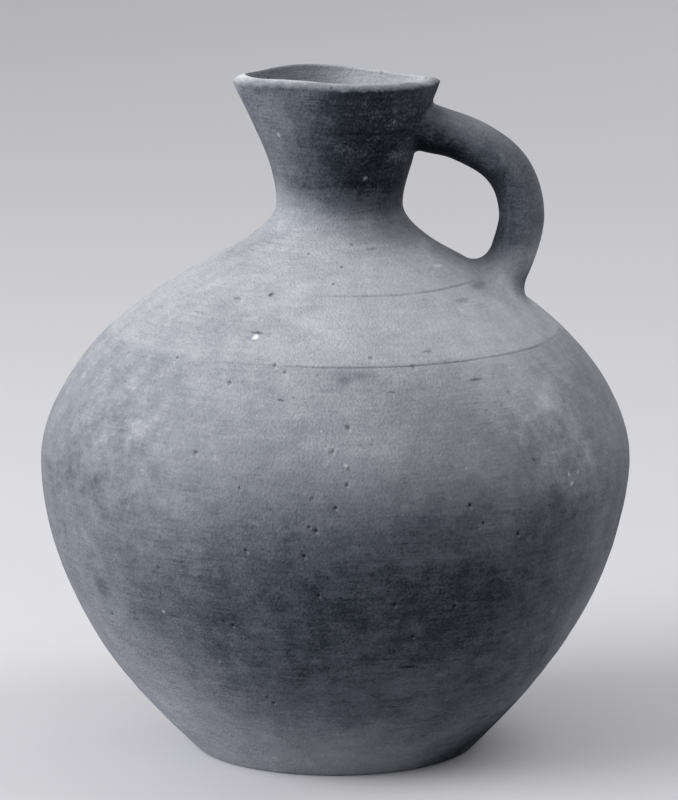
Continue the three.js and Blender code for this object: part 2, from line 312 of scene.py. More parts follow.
# Unevenness of the thrown wall
def ripple(kind, turn, height, shift=0):
    """How far a ripple of a kind stands out at a place. A shift gives another one of the same kind."""
    return kind.height * noise.noise((
        math.cos(turn) * kind.turning + kind.seed + shift,
        math.sin(turn) * kind.turning,
        height / kind.spacing,
    ))


def uneven(ripples, turn, height):
    """How far several ripples stand out together at a place."""
    return sum(ripple(kind, turn, height) for kind in ripples)


def line_cut(turn, height):
    """How deep a cut line goes at a place, from 0 to 1. It wavers, and skips where the stick was lifted."""
    deepest = 0
    for number, (line, deepest_turn, span) in enumerate(zip(LINE_HEIGHTS, LINE_TURNS, LINE_SPANS)):
        press = ease(1 - (1 - math.cos(turn - deepest_turn)) / span) + ripple(LINE_LIFT, turn, 0, number)
        across = abs(height - line - ripple(LINE_WAVER, turn, 0, number)) / (LINE_WIDTH / 2)
        if across < 1:
            deepest = max(deepest, clamp(press) * wave(math.pi * across))
    return deepest


def flake(turn, height):
    """How deep the lost flake goes at a place, from 0 to 1."""
    radius, flare = wall(STATIONS, height)
    round_pot = (turn - FLAKE_TURN) * radius
    up_wall = (height - FLAKE_HEIGHT) * math.hypot(1, flare)
    distance = math.hypot(round_pot, FLAKE_FLATNESS * up_wall) / FLAKE_RADIUS
    return ease(FLAKE_STEEPNESS * (1 - distance)) if distance < 1 else 0


def sag(turn, height):
    """How far the wall is out of round at a place."""
    push = 0
    for degrees, middle, reach, most in SAGS:
        across = max(math.cos(turn - math.radians(degrees)), 0) ** 2
        push += most * MM * across * math.exp(-(((height / MM - middle) / reach) ** 2))
    return push


def outer_push(turn, height):
    """How far the outer face stands out from the true curve at a place."""
    push = sag(turn, height) + uneven(OUTER_RIPPLES, turn, height)
    return push - LINE_DEPTH * line_cut(turn, height) - FLAKE_DEPTH * flake(turn, height)


def inner_push(turn, height):
    """The inside was left as thrown, with finger ridges and finer lines on them."""
    return uneven(INNER_RIPPLES, turn, height)


def lip_wear(turn, height):
    """How far the lip is rubbed down at a place, more where it was knocked."""
    return LIP_WEAR * (LIP_EVEN_WEAR + uneven(LIP_KNOCKS, turn, height))


def lip_height(height, turn):
    """The height of a point of the neck, whose lip is rubbed lower towards the handle."""
    foot = MOUTH_HEIGHT - LIP_BEVEL
    if height <= foot:
        return height
    return blend(height, foot, LIP_LOWERING * wave(turn) ** LIP_LOWERING_NARROWNESS)


def thumb_press(turn, height):
    """Dents of the thumb that pressed a coil over a seam, one beside another all the way round."""
    return wave(THUMB_PRESSES * turn + ripple(THUMB_DRIFT, turn, height))


def string_cut(x, y):
    """How far the underside is scored at a place by the string that cut the pot from the wheel."""
    distance = math.hypot(x - STRING_CENTRE[0], y - STRING_CENTRE[1])
    wander = STRING_WANDER * noise.noise((x / STRING_WANDER_SIZE, y / STRING_WANDER_SIZE, 0))
    fade = ease((BASE_RADIUS - BASE_EDGE_ROUND - math.hypot(x, y)) / STRING_FADE)
    return STRING_DEPTH * fade * wave(math.tau * distance / STRING_SPACING + wander)


def pushed(radius, turn, height, flare, push):
    """A point of the wall moved square to it and then settled."""
    slant = math.hypot(1, flare)
    radius += push / slant
    return settle(radius * math.cos(turn), radius * math.sin(turn), height - push * flare / slant)


def outer_point(turn, height):
    radius, flare = wall(STATIONS, height)
    return pushed(radius, turn, height, flare, outer_push(turn, height))


def rows(stations, low, high, spacing):
    """Heights up a face, from low to high, whose rows lie about a spacing apart on it."""
    heights = [low]
    while heights[-1] < high:
        heights.append(heights[-1] + spacing / math.hypot(1, wall(stations, heights[-1])[1]))
    fit = (high - low) / (heights[-1] - low)
    return [low + (height - low) * fit for height in heights]


def outer_rows(low, high):
    """Rows of the outer face, with close ones at the cut lines."""
    heights = rows(STATIONS, low, high, ROW_SPACING)
    for line in LINE_HEIGHTS:
        if low < line < high:
            heights = [height for height in heights if abs(height - line) > LINE_WIDTH]
            heights += [line + step * LINE_WIDTH / LINE_ROWS for step in range(-LINE_ROWS, LINE_ROWS + 1)]
    return sorted(heights)


# A point of an outline: which face of the wall it is on, whether it is a seam's rim, which stays crisp,
# and how far it is open to wear and to thumb dents.
Point = namedtuple("Point", "radius height face rim worn thumbed", defaults=(0, 0, 0))
OUTER, INNER, FLAT = 1, 0, -1


def face_points(stations, heights, face):
    points = [Point(wall(stations, height)[0], height, face) for height in heights]
    for end in (0, -1):
        points[end] = points[end]._replace(rim=1)
    return points


def runs_round(edge, radius_layer):
    """Whether an edge of a spun piece lies along its ring, and not along its outline."""
    start, end = edge.verts
    level = abs(start.co.z - end.co.z) < LEVEL_TOLERANCE
    return level and abs(start[radius_layer] - end[radius_layer]) < LEVEL_TOLERANCE


def fired_place(point, turn):
    """Where a point of an outline lies on the finished pot at a turn."""
    point = point._replace(height=lip_height(point.height, turn))
    if point.face == OUTER:
        push = outer_push(turn, point.height) - point.worn * lip_wear(turn, point.height)
        return pushed(point.radius, turn, point.height, wall(STATIONS, point.height)[1], push)
    if point.face == INNER:
        push = inner_push(turn, point.height)
        push += THUMB_DEPTH * point.thumbed * thumb_press(turn, point.height)
        return pushed(point.radius, turn, point.height, wall(INNER_STATIONS, point.height)[1], push)
    place = settle(point.radius * math.cos(turn), point.radius * math.sin(turn), point.height)
    if point.height == 0:
        place.z += string_cut(place.x, place.y)
    return place


def throw(name, outline, closed=True):
    """Spins an outline round the pot's axis and gives both faces of the wall their unevenness."""
    clay = bmesh.new()
    layers = {field: clay.verts.layers.float.new(field) for field in Point._fields}
    ring = []
    for point in outline:
        vert = clay.verts.new((point.radius, 0, point.height))
        for field, layer in layers.items():
            vert[layer] = getattr(point, field)
        ring.append(vert)
    ends = ring[1:] + ring[:1] if closed else ring[1:]
    edges = [clay.edges.new(pair) for pair in zip(ring, ends)]
    bmesh.ops.spin(
        clay, geom=ring + edges, cent=(0, 0, 0), axis=(0, 0, 1), angle=math.tau, steps=POT_STEPS,
        use_merge=True,
    )
    bmesh.ops.remove_doubles(clay, verts=clay.verts, dist=WELD_DISTANCE)
    rounds = [edge for edge in clay.edges if runs_round(edge, layers["radius"])]
    bmesh.ops.subdivide_edges(clay, edges=rounds, cuts=STEP_CUTS, use_grid_fill=True)
    bmesh.ops.recalc_face_normals(clay, faces=clay.faces)
    dirt = clay.verts.layers.float.new("dirt")
    within = clay.verts.layers.float.new("within")
    for vert in clay.verts:
        turn = math.atan2(vert.co.y, vert.co.x)
        point = Point(*(vert[layer] for layer in layers.values()))
        if point.face == INNER:
            # Paler inside, with painted light at the handle side and painted shade at the spout side.
            vert[within] = clamp(INSIDE_PALENESS + INSIDE_LIGHT_SWING * math.cos(turn))
        if point.face == OUTER:
            # Dirt and painted shade in the cut lines.
            vert[dirt] = line_cut(turn, point.height)
        vert.co = fired_place(point, turn)
    return finish_piece(name, clay, layers["rim"])


def finish_piece(name, clay, rim_layer=None):
    """Makes a smooth-shaded object of a bmesh, riding on the one body."""
    for face in clay.faces:
        face.smooth = True
    if rim_layer:
        for edge in clay.edges:
            if all(vert[rim_layer] == 1 for vert in edge.verts):
                edge.smooth = False
    mesh = bpy.data.meshes.new(name)
    clay.to_mesh(mesh)
    clay.free()
    piece = bpy.data.objects.new(name, mesh)
    scene.collection.objects.link(piece)
    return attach(piece, "root")


# The pieces of the pot
def make_base():
    """The slab under the pot, with its lower edge rubbed round."""
    rest = BASE_RADIUS - BASE_EDGE_ROUND
    start = Vector((rest, 0))
    corner = Vector((BASE_RADIUS, 0))
    edge_top = Vector((wall(STATIONS, BASE_EDGE_ROUND)[0], BASE_EDGE_ROUND))
    round_edge = rounded(start, corner, edge_top, ROUND_POINTS)
    below = [Point(rest * step / UNDERSIDE_ROWS, 0, FLAT) for step in range(UNDERSIDE_ROWS + 1)]
    edge = [Point(spot.x, spot.y, FLAT) for spot in round_edge[1:]]
    side = face_points(STATIONS, rows(STATIONS, BASE_EDGE_ROUND, BASE_TOP, ROW_SPACING)[1:], OUTER)
    side[0] = side[0]._replace(rim=0)
    return throw("jug_base", below + edge + side + [Point(0, BASE_TOP, FLAT)], closed=False)


def make_shell(name, low, high):
    """A thrown wall of the body between two heights."""
    outer = face_points(STATIONS, outer_rows(low, high), OUTER)
    inner = face_points(INNER_STATIONS, rows(INNER_STATIONS, low, high, INNER_SPACING), INNER)
    return throw(name, outer + inner[::-1])


def make_neck():
    """The neck, with its lip rounded over to a narrow edge and worn."""
    outer_heights = rows(STATIONS, NECK_FOOT, MOUTH_HEIGHT - LIP_BEVEL, NECK_SPACING)
    inner_heights = rows(INNER_STATIONS, NECK_FOOT, MOUTH_HEIGHT - LIP_INNER_ROUND, NECK_INNER_SPACING)
    outer = face_points(STATIONS, outer_heights, OUTER)
    inner = face_points(INNER_STATIONS, inner_heights, INNER)
    worn_foot = outer_heights[-1] - LIP_WEAR_REACH
    for number, point in enumerate(outer):
        worn = LIP_OUTER_WEAR * ease((point.height - worn_foot) / LIP_WEAR_REACH)
        outer[number] = point._replace(worn=worn)
    outer[-1] = outer[-1]._replace(rim=0)
    inner[-1] = inner[-1]._replace(rim=0)
    bevel = Vector((outer[-1].radius, outer[-1].height))
    inside = Vector((inner[-1].radius, inner[-1].height))
    ridge = Vector((inside.x + LIP_EDGE, MOUTH_HEIGHT))
    corner = Vector((inside.x, MOUTH_HEIGHT))
    up_wall = Vector((wall(STATIONS, bevel.y)[1], 1)).normalized()
    front = geometry.interpolate_bezier(
        bevel, bevel + LIP_ROUND * up_wall, ridge + LIP_ROUND * Vector((1, 0)), ridge, LIP_POINTS
    )
    back = rounded(ridge, corner, inside, ROUND_POINTS)
    lip = []
    for step, spot in enumerate(front[1:], 1):
        lip.append(Point(spot.x, spot.y, OUTER, worn=LIP_OUTER_WEAR + LIP_WEAR_STEP * step))
    edge = [Point(spot.x, spot.y, INNER, worn=LIP_INNER_WEAR) for spot in back[1:-1]]
    return throw("jug_neck", outer + lip + edge + inner[::-1])


def make_seam_coil(name, node):
    """A coil pressed over a seam on the inside, thick in its middle and thumbed out at its edges."""
    foot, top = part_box(node)[0].z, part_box(node)[1].z
    heights = rows(INNER_STATIONS, foot, top, ROW_SPACING)
    front = []
    back = []
    for height in heights:
        radius, flare = wall(INNER_STATIONS, height)
        slant = math.hypot(1, flare)
        swell = math.sin(math.pi * (height - foot) / (top - foot))
        rise = COIL_THICKNESS * swell - COIL_SINK
        front.append(Point(radius - rise / slant, height + rise * flare / slant, INNER, thumbed=swell))
        sink = 2 * COIL_SINK
        back.append(Point(radius + sink / slant, height - sink * flare / slant, INNER))
    return throw(name, front + back[::-1])


def make_floor_coil(name, node):
    """The coil pressed into the corner of the floor and the wall, with a hollow face."""
    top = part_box(node)[1].z
    width = top - BASE_TOP
    corner = Vector((wall(INNER_STATIONS, BASE_TOP)[0], BASE_TOP))
    wall_top = Vector((wall(INNER_STATIONS, top)[0] + COIL_SINK, top))
    toe = Vector((corner.x - width, BASE_TOP - COIL_SINK))
    hollow = Vector((corner.x - COIL_THICKNESS / 2, BASE_TOP + COIL_THICKNESS / 2))
    front = []
    for step, spot in enumerate(rounded(toe, hollow, wall_top, COIL_POINTS)):
        thumbed = math.sin(math.pi * step / (COIL_POINTS - 1)) / 2
        front.append(Point(spot.x, spot.y, INNER, thumbed=thumbed))
    back = [Point(corner.x + COIL_SINK, BASE_TOP - COIL_SINK, INNER)]
    return throw(name, front + back)


# The handle
def handle_line():
    """Points down the handle's middle line, from within the neck's wall to within the shoulder's wall."""
    def side(height):
        radius, flare = wall(STATIONS, height)
        return settle(radius, 0, height), Vector((1, 0, -flare)).normalized()

    top, top_out = side(MOUTH_HEIGHT - HANDLE_DROP)
    foot, foot_out = side(ROOT_HEIGHT - FOOT_DROP)
    apex = Vector((foot.x + HANDLE_BULGE, 0, (top.z + foot.z) / 2 - HANDLE_SAG))
    arch_ease = Vector((apex.x, 0, blend(apex.z, top.z, ARCH_FULLNESS)))
    foot_ease = Vector((apex.x, 0, blend(apex.z, foot.z, FOOT_FULLNESS)))
    leaving = top + HANDLE_LEAVE * top_out
    landing = foot + FOOT_LEAVE * foot_out
    arch = geometry.interpolate_bezier(top, leaving, arch_ease, apex, HANDLE_LINE_POINTS)
    fall = geometry.interpolate_bezier(apex, foot_ease, landing, foot, HANDLE_LINE_POINTS)
    return [top - TOP_ROOTING * top_out] + arch + fall[1:] + [foot - FOOT_ROOTING * foot_out]


class HandleRod:
    """The pulled rod along the handle's line. A place on it is a distance down the line and an angle round
    it, with angle 0 on the finger side."""

    def __init__(self):
        self.points = handle_line()
        self.reach = [0]
        for start, end in zip(self.points, self.points[1:]):
            self.reach.append(self.reach[-1] + (end - start).length)
        self.length = self.reach[-1]

    def middle(self, distance):
        low = min(bisect_right(self.reach, distance), len(self.points) - 1) - 1
        share = (distance - self.reach[low]) / (self.reach[low + 1] - self.reach[low])
        return self.points[low].lerp(self.points[low + 1], share)

    def place(self, distance, angle):
        """A point of the rod's skin, with the shallow hollows left by the wet hand that pulled it."""
        ahead = self.middle(min(distance + HANDLE_LINE_STEP, self.length))
        behind = self.middle(max(distance - HANDLE_LINE_STEP, 0))
        finger_side = Vector((0, 1, 0)).cross(ahead - behind).normalized()
        width = blend(HANDLE_TOP_WIDTH, HANDLE_FOOT_WIDTH, distance / self.length)
        out = finger_side * (HANDLE_THICKNESS / 2 * math.cos(angle))
        out += Vector((0, width / 2 * math.sin(angle), 0))
        near_neck = 1 - ease((distance - TOP_ROOTING) / HANDLE_SWELL_REACH)
        lump = uneven(HANDLE_LUMPS, angle, distance)
        lump += HANDLE_SWELL * near_neck * max(math.cos(angle), 0)
        return self.middle(distance) + out * (1 + lump / out.length)


def meeting(track, inside, outside):
    """The distance along a track at which it comes out of the pot's face."""
    for _ in range(HALVINGS):
        half = (inside + outside) / 2
        if unsettle(track(half))[2] > 0:
            outside = half
        else:
            inside = half
    return outside


def toe_on_wall(corner, centre, reach):
    """The point of the wall that lies a reach further from the rod's middle than the corner."""
    turn, height, _ = unsettle(corner)
    middle_turn, middle_height, _ = unsettle(centre)
    radius, flare = wall(STATIONS, height)
    slant = math.hypot(1, flare)
    way = Vector(((turn - middle_turn) * radius, (height - middle_height) * slant)).normalized()
    return outer_point(turn + way.x * reach / radius, height + way.y * reach / slant)


# A luted end on one side of the rod: its fillet's start, the corner that it fills and its toe on the wall
LutedEnd = namedtuple("LutedEnd", "start corner toe")


def luted_end(rod, angle, inside, fillet):
    half = rod.length / 2
    reach = blend(*fillet, wave(angle))
    meets = meeting(lambda distance: rod.place(distance, angle), inside, half)
    centre = rod.middle(meeting(rod.middle, inside, half))
    corner = rod.place(meets, angle)
    return LutedEnd(meets + math.copysign(reach, half - inside), corner, toe_on_wall(corner, centre, reach))


def luted_point(rod, angle, end, share):
    """A point of a luted end, from 0 within the wall to 1 at the fillet's start on the rod."""
    along = clamp((share - SUNK_SHARE) / (1 - SUNK_SHARE))
    on_rod = end.corner.lerp(rod.place(end.start, angle), along)
    spot = end.toe.lerp(end.corner, along).lerp(on_rod, along)
    inward = (Vector((0, 0, spot.z)) - spot).normalized()
    return spot + inward * (FILLET_SINK * (1 - along) + END_SINK * clamp(1 - share / SUNK_SHARE))


def make_handle():
    """The handle, whose ends were smoothed out on the neck and on the shoulder while the clay was soft."""
    rod = HandleRod()
    clay = bmesh.new()
    bmesh.ops.create_cone(
        clay, cap_ends=True, cap_tris=False, segments=ROD_SIDES, radius1=1, radius2=1, depth=1
    )
    risers = [edge for edge in clay.edges if abs(edge.verts[0].co.z - edge.verts[1].co.z) > 0.5]
    bmesh.ops.subdivide_edges(clay, edges=risers, cuts=ROD_RINGS, use_grid_fill=True)
    pulled = clay.verts.layers.float_vector.new("pulled")
    gripped = clay.verts.layers.float.new("gripped")
    luted = clay.verts.layers.float.new("luted")
    ends = {}
    for vert in clay.verts:
        side = round(math.atan2(vert.co.y, vert.co.x) / math.tau * ROD_SIDES) % ROD_SIDES
        angle = math.tau * side / ROD_SIDES
        if side not in ends:
            top = luted_end(rod, angle, 0, TOP_FILLET)
            foot = luted_end(rod, angle, rod.length, FOOT_FILLET)
            ends[side] = top, foot
        top, foot = ends[side]
        share = 0.5 - vert.co.z
        across = HANDLE_THICKNESS / 2
        vert[pulled] = across * math.cos(angle), across * math.sin(angle), share * rod.length
        vert[luted] = 1 - ease(min(share, 1 - share) / FILLET_SHARE)
        # Painted shade on the finger side and painted light on the outer side, fading out at the luted
        # ends.
        vert[gripped] = math.cos(angle) * (1 - vert[luted])
        if share < FILLET_SHARE:
            vert.co = luted_point(rod, angle, top, share / FILLET_SHARE)
        elif share > 1 - FILLET_SHARE:
            vert.co = luted_point(rod, angle, foot, (1 - share) / FILLET_SHARE)
        else:
            along = (share - FILLET_SHARE) / (1 - 2 * FILLET_SHARE)
            vert.co = rod.place(blend(top.start, foot.start, along), angle)
    bmesh.ops.recalc_face_normals(clay, faces=clay.faces)
    return finish_piece("jug_handle", clay)


base = make_base()
lower_body = make_shell("jug_lower_body", BASE_TOP, BELLY_HEIGHT)
upper_body = make_shell("jug_upper_body", BELLY_HEIGHT, NECK_FOOT)
neck = make_neck()
handle = make_handle()
belly_coil = make_seam_coil("jug_belly_coil", "belly_lute")
neck_coil = make_seam_coil("jug_neck_coil", "neck_lute")
floor_coil = make_floor_coil("jug_floor_coil", "base_lute")

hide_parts("base_disc")
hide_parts("lower_body")
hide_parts("upper_body")
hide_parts("neck")
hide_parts("handle", "handle_top_lute", "handle_foot_lute")
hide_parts("belly_lute")
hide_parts("neck_lute")
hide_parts("base_lute")


# Materials. A tone is the lightness of the clay, from 0, nearly black, to 1, nearly white.
# CLAY_GREYS gives the colours of the tones.
CLAY_GREYS = (
    (0, "#010308"), (0.1, "#090d16"), (0.2, "#22272f"), (0.3, "#4b4f57"),
    (0.5, "#7e8188"), (0.7, "#b0b2b7"), (0.95, "#eeeeec"),
)

# Tones of the clay before its clouds, by height in millimetres. The pot is greyer in the fire's draught and
# paler from the lower cut line up, and its neck is smoked. These tones are partly painted shade and light:
# painted light on the shoulder, which faces up, and painted shade on the lower belly, which faces down, and
# on the overhanging neck. The handle is smoked down to its foot, and its tones rise at the top of the arch
# as painted light.
POT_TONES_AND_SHADE = (
    (0, 0.5), (20, 0.47), (45, 0.43), (75, 0.4), (100, 0.39), (112, 0.41), (125, 0.47), (145, 0.52),
    (156.5, 0.55), (158.5, 0.6), (180, 0.63), (192, 0.6), (200, 0.54), (206, 0.46), (213, 0.33),
    (252, 0.31),
)
# The handle's tones rise from 224 mm up as painted light on the upward top of the arch.
HANDLE_TONES_AND_LIGHT = (
    (0, 0.6), (177, 0.6), (183, 0.5), (189, 0.35), (197, 0.28), (208, 0.25), (217, 0.24), (224, 0.26),
    (231, 0.36), (240, 0.45), (252, 0.46),
)


def on_wall(degrees, millimetres):
    """A point of the outer face at a turn and a height."""
    return outer_point(math.radians(degrees), millimetres * MM)


# What the fire and the years left on the clay, and painted shade and light: its middle, its reach along X,
# Y and Z in millimetres, its change of tone, and the share of the reach over which it fades
Patch = namedtuple("Patch", "middle reach tone fade")
# On the pot, the middle is a turn in degrees and a height in millimetres. At the handle, it is a point.
POT_CLOUDS_AND_SHADE = (
    # The first patch here, the dark lower belly, is partly a fire cloud and partly painted shade where the
    # belly turns down.
    (-76, 60, (135, 95, 71), -0.24, 0.9), (-42, 98, (30, 30, 16), -0.06, 0.9),
    # The second patch here is painted shade low on the right, the side away from the main lamp.
    (-130, 76, (50, 50, 30), -0.05, 0.9), (-40, 25, (75, 60, 40), -0.09, 0.9),
    (-58, 80, (72, 45, 24), -0.06, 1), (-72, 102, (24, 24, 9), -0.05, 1),
    # The second patch here is a painted shadow at the foot on the right.
    (-70, 46, (40, 30, 14), 0.06, 1), (-15, 4, (50, 50, 30), -0.40, 0.9),
    # The first patch here is painted light bounced up from the floor onto the lower right edge.
    (-12, 58, (36, 36, 24), 0.08, 1), (-145, 20, (40, 40, 40), 0.04, 1),
    (-42, 158, (60, 60, 28), 0.08, 1), (-42, 140, (38, 30, 16), 0.06, 1),
    (-84, 130, (24, 24, 16), 0.04, 1), (-20, 145, (40, 40, 30), -0.05, 1),
    (-145, 125, (60, 60, 40), -0.03, 1), (-140, 165, (60, 60, 40), -0.05, 1),
    (-150, 192, (30, 30, 14), -0.05, 1), (100, 115, (70, 50, 45), -0.12, 0.9),
    (-20, 196, (30, 30, 16), -0.13, 1), (-45, 208, (30, 30, 13), -0.09, 1),
    # The first patch here, the dark front of the neck, is partly smoke and partly painted shade under its
    # overhang.
    (-64, 230, (42, 36, 52), -0.25, 0.9), (-12, 248, (14, 14, 6), -0.12, 1),
)
HANDLE_SMOKE_AND_SHADE = (
    # The first three darken the finger side under the arch and the corner at the neck: partly smoke, partly
    # painted shade.
    ((40, 0, 222), (19, 25, 15), -0.24, 1),
    ((31, 0, 233), (15, 25, 16), -0.14, 1),
    ((48, 0, 211), (22, 25, 19), -0.12, 1),
    ((52, 0, 184), (26, 40, 14), -0.10, 1),
    # The last is painted shade on the underside and right edge of the foot.
    ((71, 0, 175), (12, 20, 14), -0.38, 0.9),
)
CLOUDS_AND_SHADE = [Patch(on_wall(turn, height), *rest) for turn, height, *rest in POT_CLOUDS_AND_SHADE]
CLOUDS_AND_SHADE += [Patch(Vector(middle) * MM, *rest) for middle, *rest in HANDLE_SMOKE_AND_SHADE]

# Dashes and spots left on the clay, and one painted shadow: turn in degrees, height and half length in
# millimetres, change of tone.
# A dash is a few times as long as it is high.
DASHES = (
    # The first dash is a painted shadow along the upper edge of the lost flake.
    (-112.9, 166.3, 3, -0.2), (-101.5, 146.8, 2.2, -0.16), (-86.3, 154.5, 11, -0.07),
    (-77.1, 149.3, 2.2, -0.14), (-65.6, 160.8, 2.2, -0.14), (-55.7, 151.1, 3.5, -0.18),
    (-25, 176.6, 8, -0.12), (-73.4, 49.7, 4, -0.12), (-127.6, 175.3, 2.5, -0.14),
    (-68.8, 191, 2.5, -0.12), (-34.5, 183.8, 3.5, 0.1), (-41.9, 173.9, 5, -0.1),
)
SPOTS = (
    (-112.9, 165.2, 1.6, 0.3), (-115.4, 177.3, 1.2, -0.25), (-87.7, 152.9, 3, -0.08),
    (-145.2, 71.8, 6, -0.08), (-38.8, 112.2, 1.1, 0.22), (-39.5, 115.7, 0.9, 0.2),
    (-36.6, 115.6, 1.3, 0.12), (-127.2, 68.2, 0.9, 0.2), (-87.8, 126.4, 0.9, 0.2),
    (-68.4, 215.6, 1.1, 0.24), (-137.2, 230.5, 1, 0.16), (-52, 235.8, 0.9, 0.2), (-172, 249, 8, 0.16),
)
DASH_FLATNESS = 5

# Pits where grit fell out of the clay: turn in degrees, height and radius in millimetres
PITS = (
    (-114.4, 151.3, 0.9), (-104.7, 157.4, 1), (-101.8, 155.3, 0.8), (-80.8, 159.7, 0.9),
    (-70.6, 156.7, 0.9), (-87.2, 138.5, 1.1), (-90.4, 131, 1.2), (-87.6, 120, 1), (-89.7, 111.9, 1),
    (-64.1, 110.7, 1.2), (-93.4, 104, 1.2), (-61.2, 103.7, 0.9), (-53.1, 98.2, 1.2), (-106.7, 95.6, 0.9),
    (-93.1, 79.9, 1), (-78.2, 75.8, 1.1), (-65.5, 73.5, 1), (-111.1, 66.3, 0.9), (-73.6, 62.6, 1),
    (-145, 61.7, 1), (-105.5, 34.3, 0.9), (-117.8, 128.6, 1.1), (-132.1, 156.9, 0.8), (-95.7, 94.8, 1.2),
    (-107.9, 117.9, 0.7), (-94.6, 105.2, 0.7), (-88.1, 185.9, 0.7), (-91.5, 181.1, 0.7),
    (-107.8, 189.5, 0.7),
)
# A pit's dark floor, painted shade in the hole, its pale lower rim, a painted highlight where the rim faces
# the
# lamps, and its dent: reach in radii of the pit, and change of tone or of relief. The rim lies a little
# round the pot, in degrees, and below the pit, in radii.
PIT_FLOOR_SHADE = (0.7, -0.18)
PIT_RIM_HIGHLIGHT = (0.7, 0.08)
PIT_DENT = (1.2, -0.25)
PIT_RIM_TURN = 0.4
PIT_RIM_DROP = 1.1

# Where the clay is blotched from handling, each a share from 0 to 1
BLOTCHED = (
    Patch(on_wall(-142, 128), (62, 62, 42), 1, 1),
    Patch(on_wall(-40, 126), (50, 50, 44), 1, 1),
)

# Textures, with sizes in millimetres. Mottling wanders: patch, swing of tone, detail and crispness
GRAIN = (0.9, 0.045, 2, 0.5)
BROAD_MOTTLING = (40, 0.03, 2, 0.5)
MIDDLE_MOTTLING = (9, 0.05, 4, 0.6)
BLOTCHES = (10, 0.17, 4, 0.7)
STREAKS = (3.5, 0.018, 3, 0.5)
WIPED_LINES = (1.2, 0.022, 2, 0.5)
COMBED_LINES = (0.55, 0.06, 1, 0.5)
PULLED_LINES = (1.6, 0.025, 2, 0.5)
THUMBED_SKIN = (2.5, 0.03, 3, 0.5)
LIP_RAGGEDNESS = (4, 0.07, 4, 0.5)
# Flecks are ragged, with clean clay between them: size and change of tone
COMBED_PLACES = (14, 1)
DARK_FLECKS = (3, -0.035)
DARK_STREAKS = (2.2, -0.03)
PALE_FLECKS = (4, 0.03)
# Specks are round and scattered through the clay: spacing, radius and change of tone
DARK_GRIT = (3.5, 0.3, -0.1)
PALE_GRIT = (10, 0.5, 0.1)
# Painted shade in the pinholes.
PINHOLES = (14, 0.5, -0.14)
PINHOLE_DENTS = (14, 1, -0.2)
# The levels of Blender's noise between which mottling swings and flecks set in
MOTTLING_LEVELS = (0.25, 0.75)
FLECK_LEVELS = (0.58, 0.7)
FLECK_DETAIL = 3
# How places drift about, so that what is drawn on them is ragged: the size and the reach of the drift
PATCH_DRIFT = (32, 9)
RAGGED_DRIFT = (6, 1.2)
NICKED_DRIFT = (1.4, 0.6)
DRIFT_DETAIL = 4
DRIFT_MIDDLE = (0.5, 0.5, 0.5)
# How far level or pulled lines are drawn out: the share of a place that their texture sees along each axis
STREAK_SCALE = (0.3, 0.3, 1)
WIPED_SCALE = (1 / 14, 1 / 14, 1)
COMBED_SCALE = (1 / 40, 1 / 40, 1)
PULLED_SCALE = (1, 1, 1 / 20)
# The share of its reach over which a mark, or a speck, is at its full tone
MARK_CORE = 0.35
SPECK_CORE = 0.5
# The darkest smoke and painted shade is eased to a share of its tone and a least tone
SMOKE_AND_SHADE_SHARE = 0.6
SMOKE_AND_SHADE_LEAST = 0.12
# Texture is strongest on clay darker than the first of these tones, and as on pale clay from the second
DARK_TONES = (0.12, 0.21)
COARSE_STRENGTH = 1.9
FINE_STRENGTH = 3.2
PALE_STRENGTH = 0.75
# Changes of tone in the cut lines, dirt and painted shade; inside, paler, with painted light at the handle
# side and painted shade at the spout side; on the handle, painted shade on the finger side and painted
# light on the outer side;
# and on the lip. Then the wear at which the lip starts to be pale and is at its palest
GROOVE_DIRT_AND_SHADE_TONE = -0.10
INSIDE_TONE = 0.36
FINGER_SIDE_SHADE_TONE = -0.08
LIP_TONE = 0.43
LIP_PALE_WEAR = (0.6, 1)
RELIEF_HEIGHT = 2 * MM
CLAY_SPECULAR = 0.15
WIPED_ROUGHNESS = 0.84
PULLED_ROUGHNESS = 0.8
THUMBED_ROUGHNESS = 0.9
# How far the lines change the roughness, and the line's tone at which they change it by that much
ROUGHNESS_SWING = 0.06
ROUGHNESS_LINE = 0.05


def linear(hex_colour):
    """A #rrggbb sRGB colour as linear RGBA."""
    parts = [int(hex_colour[start:start + 2], 16) / 255 for start in (1, 3, 5)]
    return [part / 12.92 if part <= 0.04045 else ((part + 0.055) / 1.055) ** 2.4 for part in parts] + [1]


def add(tree, kind, inputs=(), output=None, **settings):
    """Adds a node with its settings and gives one of its outputs, or else the first one in use.
    Inputs map a socket to a value, or to the output that feeds it."""
    made = tree.nodes.new("ShaderNode" + kind)
    for name, value in settings.items():
        setattr(made, name, value)
    for socket, value in dict(inputs).items():
        if isinstance(value, bpy.types.NodeSocket):
            tree.links.new(value, made.inputs[socket])
        else:
            made.inputs[socket].default_value = value
    return made.outputs[output] if output else next(socket for socket in made.outputs if socket.enabled)


def set_stops(ramp, stops):
    """Gives a colour ramp its stops, each a position and a linear colour."""
    elements = ramp.node.color_ramp.elements
    while len(elements) < len(stops):
        elements.new(1)
    for element, (position, colour) in zip(elements, stops):
        element.position = position
        element.color = colour


def total(tree, tones):
    """The sum of several tones."""
    def plus(so_far, tone):
        return add(tree, "Math", {0: so_far, 1: tone}, operation="ADD")

    return reduce(plus, tones)


def mottling(tree, place, patch, swing, detail, crispness):
    """A tone that wanders up and down by a swing over patches of a size, with finer ones in them."""
    texture = {"Vector": place, "Scale": 1 / (patch * MM), "Detail": detail, "Roughness": crispness}
    wander = add(tree, "TexNoise", texture)
    low, high = MOTTLING_LEVELS
    limits = {"From Min": low, "From Max": high, "To Min": -swing, "To Max": swing}
    return add(tree, "MapRange", {"Value": wander, **limits}, clamp=False)


